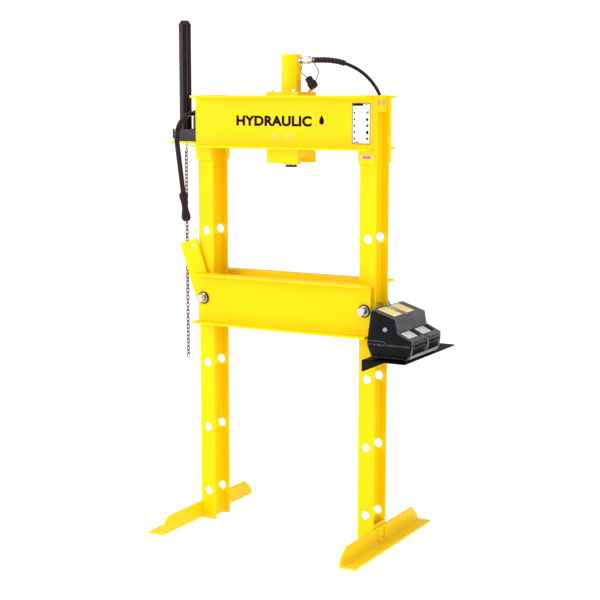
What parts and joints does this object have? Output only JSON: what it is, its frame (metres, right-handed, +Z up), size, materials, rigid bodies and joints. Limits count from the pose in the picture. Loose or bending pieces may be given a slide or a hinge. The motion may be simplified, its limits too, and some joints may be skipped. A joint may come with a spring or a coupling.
{
  "type": "hydraulic shop press",
  "caption": "Floor-standing H-frame shop press with a hydraulic ram in the head, a pinned height-adjustable bed, an air-driven foot pump on a shelf and a lever pump with lift chain.",
  "frame": {"origin": "on the floor, midway between the two posts and midway between front and rear flanges, the centre of the four floor-anchor holes", "axes": "+Z up, -Y towards the operator, +X to the side that carries the foot pump"},
  "size_m": [1.268, 0.78, 2.292],
  "materials": {
    "paint_yellow": "bright yellow gloss enamel",
    "paint_black": "black gloss enamel",
    "steel": "turned steel",
    "chrome_rod": "hard chrome",
    "zinc_bolt": "zinc plated",
    "black_oxide": "black oxide",
    "chain_steel": "yellow passivated, dulled",
    "rubber_black": "matte",
    "seal": "polyurethane",
    "plastic_body": "textured charcoal",
    "plastic_pedal": "ribbed black, pale pads",
    "label_white": "printed film",
    "label_cream": "printed film",
    "aluminium": "satin",
    "brass": "plain"
  },
  "bodies": {
    "frame": {"upright_left": "paint_yellow", "upright_right": "paint_yellow", "upright_pads": "paint_yellow", "foot_left": "paint_yellow", "foot_right": "paint_yellow", "foot_bolts": "paint_yellow", "head_channel_front": "paint_yellow", "head_channel_rear": "paint_yellow", "head_fillers": "paint_yellow", "guide_plates": "paint_yellow", "reaction_block": "paint_yellow", "top_plate": "paint_yellow", "top_plate_bolts": "zinc_bolt", "cylinder_body": "paint_yellow", "cylinder_gland": "steel", "wiper_seal": "seal", "return_spring": "steel", "coupler_socket": "steel", "coupler_plug": "steel", "dust_caps": "rubber_black", "hose": "rubber_black", "hose_guard": "rubber_black", "hose_ends": "steel", "bed_channel_front": "paint_yellow", "bed_channel_rear": "paint_yellow", "bed_spacers": "paint_yellow", "lift_arm": "paint_yellow", "pump_shelf": "paint_yellow", "bracket_bolts": "zinc_bolt", "lift_base": "paint_black", "lift_tube": "paint_black", "lift_cap": "paint_black", "lever_block": "paint_black", "foot_shelf": "paint_black", "fp_base": "plastic_body", "fp_shell": "plastic_body", "fp_shaft": "steel", "fp_screws": "steel", "fp_trim": "aluminium", "fp_labels": "label_cream", "fp_motor": "aluminium", "fp_valve": "aluminium", "air_inlet": "brass", "head_labels": "label_white"},
    "ram": {"plunger": "chrome_rod", "piston_seal": "seal", "saddle": "black_oxide"},
    "left_pin": {"pin_left": "steel"},
    "right_pin": {"pin_right": "steel"},
    "lift": {"lift_rod": "chrome_rod", "chain": "chain_steel"},
    "lever": {"hand_lever": "paint_black", "lever_grip": "rubber_black", "lever_pin": "black_oxide"},
    "pump_piston": {"pump_plunger": "steel"},
    "release": {"release_knob": "black_oxide"},
    "sleeve": {"coupler_sleeve": "steel"},
    "pedal_near": {"fp_pedal_near": "plastic_pedal"},
    "pedal_far": {"fp_pedal_far": "plastic_pedal"}
  },
  "joints": [
    {"name": "ram_slide", "type": "slide", "parent": "frame", "child": "ram", "axis": [0, 0, -1], "range_m": [0, 0.362], "stiffness_N_per_m": 300, "springref_m": -0.3, "deforming": ["return_spring"]},
    {"name": "left_pin_pull", "type": "slide", "parent": "frame", "child": "left_pin", "axis": [0, -1, 0], "range_m": [0, 0.27]},
    {"name": "right_pin_pull", "type": "slide", "parent": "frame", "child": "right_pin", "axis": [0, -1, 0], "range_m": [0, 0.27]},
    {"name": "lift_slide", "type": "slide", "parent": "frame", "child": "lift", "axis": [0, 0, -1], "range_m": [0, 0.3]},
    {"name": "lever_hinge", "type": "hinge", "parent": "frame", "child": "lever", "pos_m": [-0.5, 0.008, 1.876], "axis": [-1, 0, 0], "range_deg": [0, 70]},
    {"name": "pump_piston_slide", "type": "slide", "parent": "frame", "child": "pump_piston", "axis": [0, 0, -1], "range_m": [0, 0.00461]},
    {"name": "release_turn", "type": "hinge", "parent": "frame", "child": "release", "pos_m": [-0.594, -0.04, 1.786], "axis": [1, 0, 0], "range_deg": [0, 90]},
    {"name": "sleeve_turn", "type": "hinge", "parent": "frame", "child": "sleeve", "pos_m": [0.077, 0, 2.11], "axis": [1, 0, 0], "continuous": true},
    {"name": "pedal_near_press", "type": "hinge", "parent": "frame", "child": "pedal_near", "pos_m": [0.606, -0.07, 0.955], "axis": [0, 1, 0], "range_deg": [0, 8], "stiffness_Nm_per_rad": 8, "springref_deg": -5.73},
    {"name": "pedal_far_press", "type": "hinge", "parent": "frame", "child": "pedal_far", "pos_m": [0.606, 0.07, 0.955], "axis": [0, 1, 0], "range_deg": [0, 8], "stiffness_Nm_per_rad": 8, "springref_deg": -5.73}
  ],
  "couplings": [
    {"joint": "pump_piston_slide", "follows": "lever_hinge", "m_per_rad": 0.003765}
  ]
}
